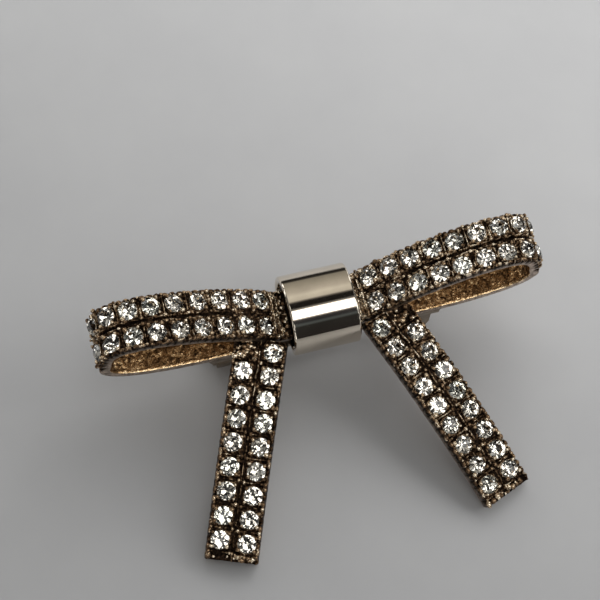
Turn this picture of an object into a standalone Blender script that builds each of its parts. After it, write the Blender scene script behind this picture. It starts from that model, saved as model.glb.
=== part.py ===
"""Ribbon-bow brooch with a bar pin and a roller safety catch, lying on its back.

+Z points out of the front of the bow, +Y to its top edge, +X to the viewer's right.
The brooch rests on z = 0 with the hinge ears, the catch and the tips of its two tails.
Sizes are worked from the middle of the knot; make() then moves every piece by
FOOTPRINT_SHIFT, so that the origin is the middle of the whole brooch's footprint.
Every named size is in millimetres, and make() turns them into metres.
"""
import math

import bpy
from mathutils import Vector

MM = 0.001

# ---- fits -------------------------------------------------------------------------------
SOLDER_GAP = 0.04          # left between two pieces that are soldered or cemented together
RUNNING_GAP = 0.04         # radial play of a turning fit
SIDE_GAP = 0.06            # end play of a turning piece

# ---- stones and their cells -------------------------------------------------------------
STONE_RADIUS = 1.03        # at the girdle
STONE_TABLE_RADIUS = 0.6
STONE_CROWN = 0.42         # girdle to table
STONE_TABLE_RISE = 0.1     # table above the setting line
STONE_FOOT_RADIUS = 0.72   # where a stone enters its cement
STONE_SIDES = 8
CELL_SIDE_ROOM = 0.14      # from a stone's girdle to the cell's long walls
CELL_END_ROOM = 0.17       # and to its cross ridges
CROSS_RIDGE = 0.3          # between the cells of a row
CELL_HALF_WIDTH = STONE_RADIUS + CELL_SIDE_ROOM
CELL_HALF_LENGTH = STONE_RADIUS + CELL_END_ROOM
CELL_PITCH = 2 * CELL_HALF_LENGTH + CROSS_RIDGE
RIM_DROP = 0.2             # cell rims below the setting line
CELL_FLOOR = 1.22          # cell floor below the setting line
CEMENT = 0.3               # thickness of the bed of cement in a row
BED_TUNNEL = 0.42          # height of the passage under each cross ridge

# ---- ribbon loops -----------------------------------------------------------------------
KNOT_WIDTH = 7.78          # along X
KNOT_TO_LOOP = 1.05        # from the knot's end to the ribbon's ends
LOOP_CENTRE_RIDGE = 0.71   # between the two rows
LOOP_OUTER_WALL = 0.255
ROW_PITCH_LOOP = 2 * CELL_HALF_WIDTH + LOOP_CENTRE_RIDGE
LOOP_WIDTH = 4 * CELL_HALF_WIDTH + LOOP_CENTRE_RIDGE + 2 * LOOP_OUTER_WALL
LOOP_ROOT_OUT = KNOT_WIDTH / 2 + KNOT_TO_LOOP
LOOP_FRONT_ROOT = 4.48     # height of the front strip's end above the bow's datum
LOOP_BACK_ROOT = 1.64      # height of the back strip's end
LOOP_TIP_OUT = 25.96       # from the middle to the loop's tip
LOOP_TIP_HEIGHT = 5.94
FRONT_START_PULL = (3.23, 3.08)
FRONT_TIP_PULL = 8.86
BACK_TIP_PULL = 7.08
BACK_ROOT_PULL = 3.55
FRONT_STRIP = 1.75         # setting line to the inside of the front strip
BACK_STRIP = 0.8           # thickness of the bare back strip
LOOP_RISE = 1.5            # degrees, the loops' climb from the middle outwards
LOOP_LEAN = 5.0            # degrees, upper edge of the front strip towards the front
LOOP_FIRST_STONE = 1.54    # along the strip, from its end to the first stone
LOOP_LAST_REACH = 0.3      # how far past the tip the last cell may end

# ---- ribbon tails -----------------------------------------------------------------------
TAIL_CENTRE_RIDGE = 0.67
TAIL_OUTER_WALL = 0.35
ROW_PITCH_TAIL = 2 * CELL_HALF_WIDTH + TAIL_CENTRE_RIDGE
TAIL_WIDTH = 4 * CELL_HALF_WIDTH + TAIL_CENTRE_RIDGE + 2 * TAIL_OUTER_WALL
KNOT_TO_TAIL = 0.838       # from the knot's end to a tail's inner edge
TAIL_X = KNOT_WIDTH / 2 + KNOT_TO_TAIL + TAIL_WIDTH / 2
TAIL_TUCK = 0.421          # how far the first cells reach up under the loop's lower edge
TAIL_Y = TAIL_TUCK - LOOP_WIDTH / 2 - CELL_HALF_LENGTH
TAIL_HEIGHT = 4.255
TAIL_SPLAY = 22.9          # degrees outwards from straight down
TAIL_SPLAY_LOSS = 0.064    # degrees less for each millimetre
TAIL_SLOPE = 10.06         # degrees down to the back
TAIL_SLOPE_GAIN = 0.575    # degrees more for each millimetre
TAIL_THICK = 1.95          # setting line to the back of a tail
TAIL_TOP = 1.35            # casting above the first inner stone
TAIL_INNER_STONES = 9
TAIL_OUTER_STONES = 8
TAIL_OUTER_START = 2.54    # first outer stone below the first inner one
TAIL_END_RIM = 0.95         # casting past the last cell
LUG_WIDTH = 2.2            # the tongue that joins a tail to the core
LUG_LAP = 0.2              # how far it lies over the core's flange
LUG_THICK = 0.7
LUG_OUT = 8.1              # its middle, from the middle of the bow

# ---- knot and core ----------------------------------------------------------------------
KNOT_HALF_DEPTH = 4.58     # along Y
KNOT_Y = -0.15
KNOT_EQUATOR = 3.55        # height of its widest place above the datum
KNOT_RISE = 4.13           # equator to the crown
KNOT_WALL = 0.75
KNOT_EDGE = 0.14           # softened edge
KNOT_ROUND = 2.16          # superellipse power of the front
KNOT_FLAT = 3.4            # and of the flattened back
CORE_INSET = 0.39          # core's ends inside the knot's
CORE_HALF_WIDTH = KNOT_WIDTH / 2 - CORE_INSET
CORE_HEIGHT = 4.0
FLANGE_OUT = 9.2           # how far the core's flanges reach
FLANGE_THICK = 0.55
FLANGE_HALF_DEPTH = 2.2
FLANGE_NOTCH_FROM = 5.6    # beyond this the flange keeps clear of the tail
FLANGE_NOTCH_Y = -1.2

# ---- bar pin ----------------------------------------------------------------------------
BAR_LEFT = -13.3
BAR_RIGHT = 14.4
BAR_WIDTH = 5.0
BAR_Y = -0.1
BAR_THICK = 0.7
BAR_CORNER = 0.35
PAD_OUT = 8.6
PAD_LENGTH = 3.2
PAD_WIDTH = 3.4
REST_DEPTH = 4.78          # from the back of the bar to the surface the brooch lies on
PIVOT_HEIGHT = 1.65        # of the stem's axis above that surface
HINGE_X = 11.6
HINGE_LENGTH = 3.0
HINGE_FOOT = 1.0
EAR_THICK = 0.5
HINGE_PLATE = 0.5
RIVET_RADIUS = 0.5
RIVET_HEAD_RADIUS = 0.85
RIVET_HEAD = 0.22
BARREL_WALL = 0.51
BARREL_RADIUS = RIVET_RADIUS + RUNNING_GAP + BARREL_WALL
STEM_RADIUS = 0.42
STEM_PLAY = 0.18           # round the stem, in the roller's bore and in the mouth
STEM_TIP = 13.7            # from the middle of the bow to the point
STEM_TAPER = 3.4
STEM_POINT_RADIUS = 0.07
CATCH_X = -11.0
CATCH_LENGTH = 2.0
ROLLER_WALL = 0.5
ROLLER_LIP = 0.35          # flange beyond the roller's barrel
ROLLER_FLANGE = 0.4
ROLLER_TAB = 0.75          # tab beyond the flange
ROLLER_TAB_WIDTH = 0.8
SLOT_STEP = 0.12           # the roller's slot is this much narrower than the mouth
CATCH_WALL = 0.46
CATCH_NECK = 1.1           # half width where the housing meets the bar
FOOT_WIDTH = 0.7           # of each foot, beside the mouth
MOUTH = 2 * (STEM_RADIUS + STEM_PLAY)
ROLLER_BORE = STEM_RADIUS + STEM_PLAY
CATCH_BORE = ROLLER_BORE + ROLLER_WALL
CATCH_HALF_WIDTH = CATCH_BORE + RUNNING_GAP + CATCH_WALL
CATCH_FOOT = MOUTH / 2 + FOOT_WIDTH
ROLLER_FLANGE_RADIUS = CATCH_BORE + ROLLER_LIP
ROLLER_TAB_REACH = ROLLER_FLANGE_RADIUS + ROLLER_TAB
ROUND = 24                 # sides of a round hole or shaft

# ---- colours ----------------------------------------------------------------------------
ANTIQUE_GOLD = ((0.42, 0.31, 0.19, 1.0), 1.0, 0.42)
CHAMPAGNE = ((0.80, 0.74, 0.64, 1.0), 1.0, 0.12)
NICKEL = ((0.66, 0.64, 0.60, 1.0), 1.0, 0.3)
STEEL = ((0.70, 0.70, 0.71, 1.0), 1.0, 0.22)
SOLDER = ((0.45, 0.43, 0.40, 1.0), 1.0, 0.5)
STONE = ((0.86, 0.89, 0.90, 1.0), 0.0, 0.05)


def material(name, look):
    """A plain finish for one piece."""
    colour, metallic, roughness = look
    made = bpy.data.materials.new(name)
    made.use_nodes = True
    shader = made.node_tree.nodes["Principled BSDF"]
    shader.inputs["Base Color"].default_value = colour
    shader.inputs["Metallic"].default_value = metallic
    shader.inputs["Roughness"].default_value = roughness
    made.diffuse_color = colour
    return made


def make(name, points, faces, look=None, origin=(0.0, 0.0, 0.0), smooth=False):
    """A mesh object from points in millimetres; with no look it is a hidden helper."""
    start = Vector(origin)
    mesh = bpy.data.meshes.new(name)
    mesh.from_pydata([tuple((Vector(p) - start) * MM) for p in points], [], faces)
    mesh.validate()
    made = bpy.data.objects.new(name, mesh)
    made.location = (start + Vector((0.0, FOOTPRINT_SHIFT, 0.0))) * MM
    bpy.context.scene.collection.objects.link(made)
    if look is None:
        made.hide_render = True
        made.display_type = "WIRE"
    else:
        mesh.materials.append(material(name, look))
    for polygon in mesh.polygons:
        polygon.use_smooth = smooth
    return made


def boolean(target, other, operation):
    """Cuts or joins with the exact solver."""
    step = target.modifiers.new(f"{operation.lower()} {other.name}", "BOOLEAN")
    step.operation = operation
    step.solver = "EXACT"
    step.object = other


def skin(rings, caps=True, closed=False):
    """Points and outward faces of a tube through rings that turn anticlockwise
    when looked at against the direction of travel."""
    points = [p for ring in rings for p in ring]
    n = len(rings[0])
    faces = []
    last = len(rings) if closed else len(rings) - 1
    for i in range(last):
        a = i * n
        b = ((i + 1) % len(rings)) * n
        for k in range(n):
            m = (k + 1) % n
            faces.append((a + k, a + m, b + m, b + k))
    if caps and not closed:
        faces.append(tuple(reversed(range(n))))
        faces.append(tuple(range((len(rings) - 1) * n, len(rings) * n)))
    return points, faces


def prism(outline, low, high, axis):
    """Extrudes an anticlockwise outline. axis X takes (y, z), Y takes (z, x), Z takes (x, y)."""
    place = {
        "X": lambda a, b, c: (c, a, b),
        "Y": lambda a, b, c: (b, c, a),
        "Z": lambda a, b, c: (a, b, c),
    }[axis]
    rings = [[place(a, b, c) for a, b in outline] for c in (low, high)]
    return skin(rings)


def box(low, high):
    """A box between two corners."""
    outline = [(low[0], low[1]), (high[0], low[1]), (high[0], high[1]), (low[0], high[1])]
    return prism(outline, low[2], high[2], "Z")


def circle(radius, sides=ROUND, centre=(0.0, 0.0)):
    """An anticlockwise circle."""
    turn = 2 * math.pi / sides
    return [
        (
            centre[0] + radius * math.cos((k + 0.5) * turn),
            centre[1] + radius * math.sin((k + 0.5) * turn),
        )
        for k in range(sides)
    ]


# ---- the datum: how high the bow's own zero lies above the surface it rests on -----------


def bezier(a, b, c, d, t):
    """A point on a cubic curve in the plane."""
    u = 1 - t
    return tuple(
        u * u * u * a[i] + 3 * u * u * t * b[i] + 3 * u * t * t * c[i] + t * t * t * d[i]
        for i in (0, 1)
    )


def loop_outline(steps=160):
    """The ribbon's outer line seen from below: front strip, tip, back strip."""
    root = (LOOP_ROOT_OUT, LOOP_FRONT_ROOT)
    tip = (LOOP_TIP_OUT, LOOP_TIP_HEIGHT)
    end = (LOOP_ROOT_OUT, LOOP_BACK_ROOT)
    out = (root[0] + FRONT_START_PULL[0], root[1] + FRONT_START_PULL[1])
    over = (tip[0], tip[1] + FRONT_TIP_PULL)
    under = (tip[0], tip[1] - BACK_TIP_PULL)
    back = (end[0] + BACK_ROOT_PULL, end[1])
    front_line = [bezier(root, out, over, tip, k / steps) for k in range(steps + 1)]
    back_line = [bezier(tip, under, back, end, k / steps) for k in range(1, steps + 1)]
    return front_line + back_line


OUTLINE = loop_outline()
REACH = [0.0]
for before, after in zip(OUTLINE, OUTLINE[1:]):
    REACH.append(REACH[-1] + math.dist(before, after))
FRONT_LENGTH = REACH[160]
LOOP_LENGTH = REACH[-1]
BACK_LOWEST = min(p[1] for p in OUTLINE)
CELL_REACH = FRONT_LENGTH + LOOP_LAST_REACH - LOOP_FIRST_STONE - CELL_HALF_LENGTH
LOOP_STONES = 1 + int(CELL_REACH / CELL_PITCH)

BAR_FRONT_DATUM = BACK_LOWEST - SOLDER_GAP
DATUM = REST_DEPTH + BAR_THICK - BAR_FRONT_DATUM
BAR_FRONT = DATUM + BAR_FRONT_DATUM
BAR_BACK = BAR_FRONT - BAR_THICK


def on_outline(along):
    """Place and direction on the loop's outer line at a length along it."""
    k = 0
    while k < len(REACH) - 2 and REACH[k + 1] < along:
        k += 1
    part = (along - REACH[k]) / (REACH[k + 1] - REACH[k])
    a, b = OUTLINE[k], OUTLINE[k + 1]
    place = (a[0] + (b[0] - a[0]) * part, a[1] + (b[1] - a[1]) * part)
    low = OUTLINE[max(k - 1, 0)]
    high = OUTLINE[min(k + 2, len(OUTLINE) - 1)]
    size = math.dist(low, high)
    return place, ((high[0] - low[0]) / size, (high[1] - low[1]) / size)


def smoothstep(x):
    """0 to 1, easing at both ends."""
    x = min(max(x, 0.0), 1.0)
    return x * x * (3 - 2 * x)


def loop_frame(side, along):
    """Point on the setting line, lateral direction and outward normal of a loop."""
    place, direction = on_outline(along)
    rise = math.radians(LOOP_RISE)
    facing = 0.5 + 0.5 * direction[0]
    lean = math.radians(LOOP_LEAN) * smoothstep(facing * 1.6)
    out = Vector((side * math.cos(rise), math.sin(rise), 0))
    across = Vector(
        (
            -side * math.sin(rise) * math.cos(lean),
            math.cos(rise) * math.cos(lean),
            math.sin(lean),
        )
    )
    ahead = out * direction[0] + Vector((0, 0, direction[1]))
    normal = ahead.cross(across) * side
    normal.normalize()
    point = out * place[0] + Vector((0, 0, place[1] + DATUM))
    return point, across, normal


def strip_depths(along):
    """Outer face and inner face of the ribbon below its setting line."""
    change = smoothstep((along - FRONT_LENGTH + 0.3) / 4.2)
    top = RIM_DROP * (1 - change)
    bottom = FRONT_STRIP + (BACK_STRIP - FRONT_STRIP) * change
    return top, bottom


def section(point, across, normal, low, high, left, right, side):
    """Four corners of a rectangle in a ribbon's cross-section, wound for skin()."""
    corners = [(left, low), (right, low), (right, high), (left, high)]
    if side < 0:
        corners.reverse()
    return [point + across * a + normal * b for a, b in corners]


def loop_rings(side, grow, start, end, count):
    """Cross-sections of a whole ribbon loop, swollen by grow."""
    rings = []
    half = LOOP_WIDTH / 2 + grow
    for k in range(count + 1):
        along = start + (end - start) * k / count
        point, across, normal = loop_frame(side, along)
        top, bottom = strip_depths(along)
        rings.append(
            section(point, across, normal, -bottom - grow, -top + grow, -half, half, side)
        )
    return rings


def tail_frame(side, along):
    """Point on the setting line, lateral (outward) direction and normal of a tail."""
    steps = max(1, round(abs(along) / 0.25))
    size = along / steps
    place = Vector((side * TAIL_X, TAIL_Y, TAIL_HEIGHT + DATUM))
    for k in range(steps):
        splay, slope = tail_angles((k + 0.5) * size)
        place = place + tail_ahead(side, splay, slope) * size
    splay, slope = tail_angles(along)
    across = Vector((side * math.cos(splay), math.sin(splay), 0))
    normal = across.cross(tail_ahead(side, splay, slope)) * -side
    normal.normalize()
    return place, across, normal


def tail_angles(along):
    """Splay and downward slope, in radians."""
    return (
        math.radians(TAIL_SPLAY - TAIL_SPLAY_LOSS * along),
        math.radians(TAIL_SLOPE + TAIL_SLOPE_GAIN * along),
    )


def tail_ahead(side, splay, slope):
    """Unit vector down a tail."""
    return Vector(
        (
            side * math.sin(splay) * math.cos(slope),
            -math.cos(splay) * math.cos(slope),
            -math.sin(slope),
        )
    )


TAIL_END = (TAIL_INNER_STONES - 1) * CELL_PITCH + CELL_HALF_LENGTH + TAIL_END_RIM


def footprint_shift():
    """Half-way between the knot's upper edge and the lowest corner of a tail."""
    point, across, normal = tail_frame(1, TAIL_END)
    half = TAIL_WIDTH / 2
    corners = section(point, across, normal, -TAIL_THICK, -RIM_DROP, -half, half, 1)
    top = max(y for y, _ in knot_line(0.0))
    return -(top + min(corner.y for corner in corners)) / 2


def row_cutter(name, frame, side, offset, first, cells, deepest):
    """The cells of one row and the passages that join them under the cross ridges."""
    rings = []
    low = -CELL_FLOOR
    passage = low + BED_TUNNEL
    left = offset - CELL_HALF_WIDTH
    right = offset + CELL_HALF_WIDTH
    step = 0.04

    def ring(along, high):
        point, across, normal = frame(side, along)
        rings.append(section(point, across, normal, low, high, left, right, side))

    for k in range(cells):
        middle = first + k * CELL_PITCH
        if k > 0:
            ring(middle - CELL_HALF_LENGTH - step, passage)
        for part in (-1.0, -0.5, 0.0, 0.5, 1.0) if deepest else (-1.0, 0.0, 1.0):
            ring(middle + part * CELL_HALF_LENGTH, 0.5)
        if k < cells - 1:
            ring(middle + CELL_HALF_LENGTH + step, passage)
    return make(name, *skin(rings))


def row_of_stones(name, frame, side, offset, first, cells):
    """One row: a bed of cement lying on the cell floors, and the stones set in it."""
    half = CELL_HALF_WIDTH - SOLDER_GAP
    low = -CELL_FLOOR + SOLDER_GAP
    high = low + CEMENT
    start = first - CELL_HALF_LENGTH + SOLDER_GAP
    end = first + (cells - 1) * CELL_PITCH + CELL_HALF_LENGTH - SOLDER_GAP
    stops = [start]
    for k in range(cells):
        middle = first + k * CELL_PITCH
        if k > 0:
            stops.append(middle - CELL_HALF_LENGTH)
        stops += [middle - CELL_HALF_LENGTH / 2, middle, middle + CELL_HALF_LENGTH / 2]
        if k < cells - 1:
            stops.append(middle + CELL_HALF_LENGTH)
    stops.append(end)
    rings = []
    for along in stops:
        point, across, normal = frame(side, along)
        rings.append(
            section(point, across, normal, low, high, offset - half, offset + half, side)
        )
    bed = make(name, *skin(rings), STONE)
    table = STONE_TABLE_RISE
    girdle = table - STONE_CROWN
    levels = (
        (low + CEMENT / 2, STONE_FOOT_RADIUS),
        (girdle, STONE_RADIUS),
        (table, STONE_TABLE_RADIUS),
    )
    points = []
    faces = []
    for k in range(cells):
        point, across, normal = frame(side, first + k * CELL_PITCH)
        middle = point + across * offset
        other = normal.cross(across)
        rings = [
            [middle + across * a + other * b + normal * height for a, b in circle(r, STONE_SIDES)]
            for height, r in levels
        ]
        more, joined = skin(rings)
        faces += [tuple(i + len(points) for i in face) for face in joined]
        points += more
    gems = make(name + "_gems", points, faces)
    boolean(bed, gems, "UNION")
    return bed


def loop(side, word):
    """A ribbon loop with its two rows of cells."""
    body = make(
        f"loop_{word}", *skin(loop_rings(side, 0.0, 0.0, LOOP_LENGTH, 52)), ANTIQUE_GOLD
    )
    for row, sign in (("upper", 1), ("lower", -1)):
        offset = sign * ROW_PITCH_LOOP / 2
        cutter = row_cutter(
            f"cells_{word}_{row}", loop_frame, side, offset, LOOP_FIRST_STONE, LOOP_STONES, True
        )
        boolean(body, cutter, "DIFFERENCE")
        row_of_stones(
            f"stones_loop_{word}_{row}", loop_frame, side, offset, LOOP_FIRST_STONE, LOOP_STONES
        )
    return make(
        f"room_{word}",
        *skin(loop_rings(side, SOLDER_GAP, -SOLDER_GAP, LOOP_LENGTH + SOLDER_GAP, 52)),
    )


def back_inner_height():
    """Highest place of the back strip's inner face under the core's flanges."""
    highest = 0.0
    for k in range(40):
        along = LOOP_LENGTH - (FLANGE_OUT - LOOP_ROOT_OUT) * 1.02 * k / 39
        place, _ = on_outline(along)
        highest = max(highest, place[1] + strip_depths(along)[1])
    return highest


FLANGE_BOTTOM = DATUM + back_inner_height() + SOLDER_GAP
FLANGE_TOP = FLANGE_BOTTOM + FLANGE_THICK


def tail(side, word, room):
    """A ribbon tail: a gently bowed strip with two columns of cells and a joining tongue."""
    half = TAIL_WIDTH / 2
    rings = []
    for k in range(19):
        along = -TAIL_TOP + (TAIL_END + TAIL_TOP) * k / 18
        point, across, normal = tail_frame(side, along)
        rings.append(
            section(point, across, normal, -TAIL_THICK, -RIM_DROP, -half, half, side)
        )
    body = make(f"tail_{word}", *skin(rings), ANTIQUE_GOLD)
    low = FLANGE_TOP + SOLDER_GAP
    near = LUG_OUT - LUG_WIDTH / 2
    far = LUG_OUT + LUG_WIDTH / 2
    start, across, _ = tail_frame(side, -TAIL_TOP)
    bottom = start.y - LUG_THICK
    lug = make(
        f"lug_{word}",
        *box(
            (min(side * near, side * far), bottom, low),
            (max(side * near, side * far), FLANGE_NOTCH_Y + LUG_LAP, low + LUG_THICK),
        ),
    )
    boolean(body, lug, "UNION")
    boolean(body, room, "DIFFERENCE")
    columns = (
        ("inner", -1, 0.0, TAIL_INNER_STONES),
        ("outer", 1, TAIL_OUTER_START, TAIL_OUTER_STONES),
    )
    for column, sign, first, cells in columns:
        offset = sign * ROW_PITCH_TAIL / 2
        cutter = row_cutter(
            f"cells_tail_{word}_{column}", tail_frame, side, offset, first, cells, False
        )
        boolean(body, cutter, "DIFFERENCE")
        row_of_stones(
            f"stones_tail_{word}_{column}", tail_frame, side, offset, first, cells
        )


def knot_line(inset, sides=40):
    """The knot's outline: round in front, flattened behind where it meets the bar."""
    drop = KNOT_EQUATOR - BACK_LOWEST
    line = []
    for k in range(sides):
        turn = 2 * math.pi * (k + 0.5) / sides
        c, s = math.cos(turn), math.sin(turn)
        power = 2 / (KNOT_ROUND if s > 0 else KNOT_FLAT)
        height = (KNOT_RISE if s > 0 else drop) - inset
        y = KNOT_Y + math.copysign(abs(c) ** power, c) * (KNOT_HALF_DEPTH - inset)
        z = KNOT_EQUATOR + math.copysign(abs(s) ** power, s) * height
        line.append((y, z + DATUM))
    return line


def knot():
    """The polished band round the middle."""
    half = KNOT_WIDTH / 2
    places = (
        (-half + KNOT_EDGE, 0.0),
        (half - KNOT_EDGE, 0.0),
        (half, KNOT_EDGE),
        (half, KNOT_WALL - KNOT_EDGE),
        (half - KNOT_EDGE, KNOT_WALL),
        (-half + KNOT_EDGE, KNOT_WALL),
        (-half, KNOT_WALL - KNOT_EDGE),
        (-half, KNOT_EDGE),
    )
    rings = [[(x, y, z) for y, z in knot_line(inset)] for x, inset in places]
    make("knot_band", *skin(rings, closed=True), CHAMPAGNE, smooth=True)


def core(rooms):
    """The block inside the knot, with the flanges that carry loops and tails."""
    top = DATUM + BACK_LOWEST + KNOT_WALL + CORE_HEIGHT
    outline = [(y, min(z, top)) for y, z in knot_line(KNOT_WALL + SOLDER_GAP, 24)]
    body = make(
        "centre_core", *prism(outline, -CORE_HALF_WIDTH, CORE_HALF_WIDTH, "X"), ANTIQUE_GOLD
    )
    plate = [
        (-FLANGE_OUT, FLANGE_NOTCH_Y),
        (-FLANGE_NOTCH_FROM, FLANGE_NOTCH_Y),
        (-FLANGE_NOTCH_FROM, -FLANGE_HALF_DEPTH),
        (FLANGE_NOTCH_FROM, -FLANGE_HALF_DEPTH),
        (FLANGE_NOTCH_FROM, FLANGE_NOTCH_Y),
        (FLANGE_OUT, FLANGE_NOTCH_Y),
        (FLANGE_OUT, FLANGE_HALF_DEPTH),
        (-FLANGE_OUT, FLANGE_HALF_DEPTH),
    ]
    flanges = make("flanges", *prism(plate, FLANGE_BOTTOM, FLANGE_TOP, "Z"))
    boolean(body, flanges, "UNION")
    for room in rooms:
        boolean(body, room, "DIFFERENCE")


def bar():
    """The flat bar across the back."""
    low, high = BAR_Y - BAR_WIDTH / 2, BAR_Y + BAR_WIDTH / 2
    c = BAR_CORNER
    outline = [
        (BAR_LEFT + c, low),
        (BAR_RIGHT - c, low),
        (BAR_RIGHT, low + c),
        (BAR_RIGHT, high - c),
        (BAR_RIGHT - c, high),
        (BAR_LEFT + c, high),
        (BAR_LEFT, high - c),
        (BAR_LEFT, low + c),
    ]
    make("pin_bar", *prism(outline, BAR_BACK, BAR_FRONT, "Z"), NICKEL)


def solder_pad(side, word, room):
    """Solder that fills the space between the bar and a loop's back strip."""
    place, _ = on_outline(LOOP_LENGTH - (PAD_OUT - LOOP_ROOT_OUT))
    middle = DATUM + place[1] + BACK_STRIP / 2
    x = side * PAD_OUT
    pad = make(
        f"solder_{word}",
        *box(
            (x - PAD_LENGTH / 2, BAR_Y - PAD_WIDTH / 2, BAR_FRONT + SOLDER_GAP),
            (x + PAD_LENGTH / 2, BAR_Y + PAD_WIDTH / 2, middle),
        ),
        SOLDER,
    )
    boolean(pad, room, "DIFFERENCE")


def hinge():
    """A folded bracket whose two ears carry the rivet that the stem turns on."""
    top = BAR_BACK - SOLDER_GAP
    low, high = BAR_Y - BAR_WIDTH / 2, BAR_Y + BAR_WIDTH / 2
    left, right = HINGE_X - HINGE_LENGTH / 2, HINGE_X + HINGE_LENGTH / 2
    body = make(
        "hinge_bracket", *box((left, low, top - HINGE_PLATE), (right, high, top)), NICKEL
    )
    foot = HINGE_FOOT / 2
    shoulder = PIVOT_HEIGHT + BARREL_RADIUS
    outline = [
        (0.0, HINGE_X - foot),
        (0.0, HINGE_X + foot),
        (shoulder, right),
        (top, right),
        (top, left),
        (shoulder, left),
    ]
    for word, start in (("lower", low), ("upper", high - EAR_THICK)):
        ear = make(f"ear_{word}", *prism(outline, start, start + EAR_THICK, "Y"))
        boolean(body, ear, "UNION")
    hole = make(
        "rivet_hole",
        *prism(
            circle(RIVET_RADIUS + RUNNING_GAP, centre=(PIVOT_HEIGHT, HINGE_X)),
            low - 1.0,
            high + 1.0,
            "Y",
        ),
    )
    boolean(body, hole, "DIFFERENCE")
    profile = (
        (low - RIVET_HEAD - SOLDER_GAP, RIVET_HEAD_RADIUS * 0.7),
        (low - RIVET_HEAD / 2 - SOLDER_GAP, RIVET_HEAD_RADIUS),
        (low - SOLDER_GAP, RIVET_HEAD_RADIUS),
        (low - SOLDER_GAP, RIVET_RADIUS),
        (high + SOLDER_GAP, RIVET_RADIUS),
        (high + SOLDER_GAP, RIVET_HEAD_RADIUS),
        (high + RIVET_HEAD / 2 + SOLDER_GAP, RIVET_HEAD_RADIUS),
        (high + RIVET_HEAD + SOLDER_GAP, RIVET_HEAD_RADIUS * 0.7),
    )
    rings = [
        [(b, y, a) for a, b in circle(r, centre=(PIVOT_HEIGHT, HINGE_X))] for y, r in profile
    ]
    make("hinge_rivet", *skin(rings), STEEL, smooth=False)


def stem():
    """The pointed pin, with a barrel that turns on the rivet."""
    pivot = (HINGE_X, BAR_Y, PIVOT_HEIGHT)
    half = BAR_WIDTH / 2 - EAR_THICK - SIDE_GAP
    body = make(
        "pin_stem",
        *prism(
            circle(BARREL_RADIUS, centre=(PIVOT_HEIGHT, HINGE_X)),
            BAR_Y - half,
            BAR_Y + half,
            "Y",
        ),
        STEEL,
        origin=pivot,
    )
    places = (
        (HINGE_X - BARREL_RADIUS * 0.6, STEM_RADIUS),
        (-STEM_TIP + STEM_TAPER, STEM_RADIUS),
        (-STEM_TIP + STEM_TAPER * 0.5, STEM_RADIUS * 0.68),
        (-STEM_TIP + STEM_TAPER * 0.15, STEM_RADIUS * 0.34),
        (-STEM_TIP, STEM_POINT_RADIUS),
    )
    rings = [
        [(x, BAR_Y + a, PIVOT_HEIGHT + b) for a, b in circle(r, 12)]
        for x, r in reversed(places)
    ]
    wire = make("stem_wire", *skin(rings))
    hole = make(
        "barrel_bore",
        *prism(
            circle(RIVET_RADIUS + RUNNING_GAP, centre=(PIVOT_HEIGHT, HINGE_X)),
            BAR_Y - half - 1.0,
            BAR_Y + half + 1.0,
            "Y",
        ),
    )
    boolean(body, wire, "UNION")
    boolean(body, hole, "DIFFERENCE")


def slotted_ring(outer, inner, slot, sides=20):
    """A ring with a straight-sided slot pointing down, anticlockwise in (y, z)."""
    start_out = -math.pi / 2 + math.asin(slot / 2 / outer)
    start_in = -math.pi / 2 + math.asin(slot / 2 / inner)
    sweep_out = 2 * math.pi - 2 * math.asin(slot / 2 / outer)
    sweep_in = 2 * math.pi - 2 * math.asin(slot / 2 / inner)
    line = []
    for k in range(sides + 1):
        turn = start_out + sweep_out * k / sides
        line.append((outer * math.cos(turn), outer * math.sin(turn)))
    for k in range(sides, -1, -1):
        turn = start_in + sweep_in * k / sides
        line.append((inner * math.cos(turn), inner * math.sin(turn)))
    return [(BAR_Y + y, PIVOT_HEIGHT + z) for y, z in line]


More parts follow.
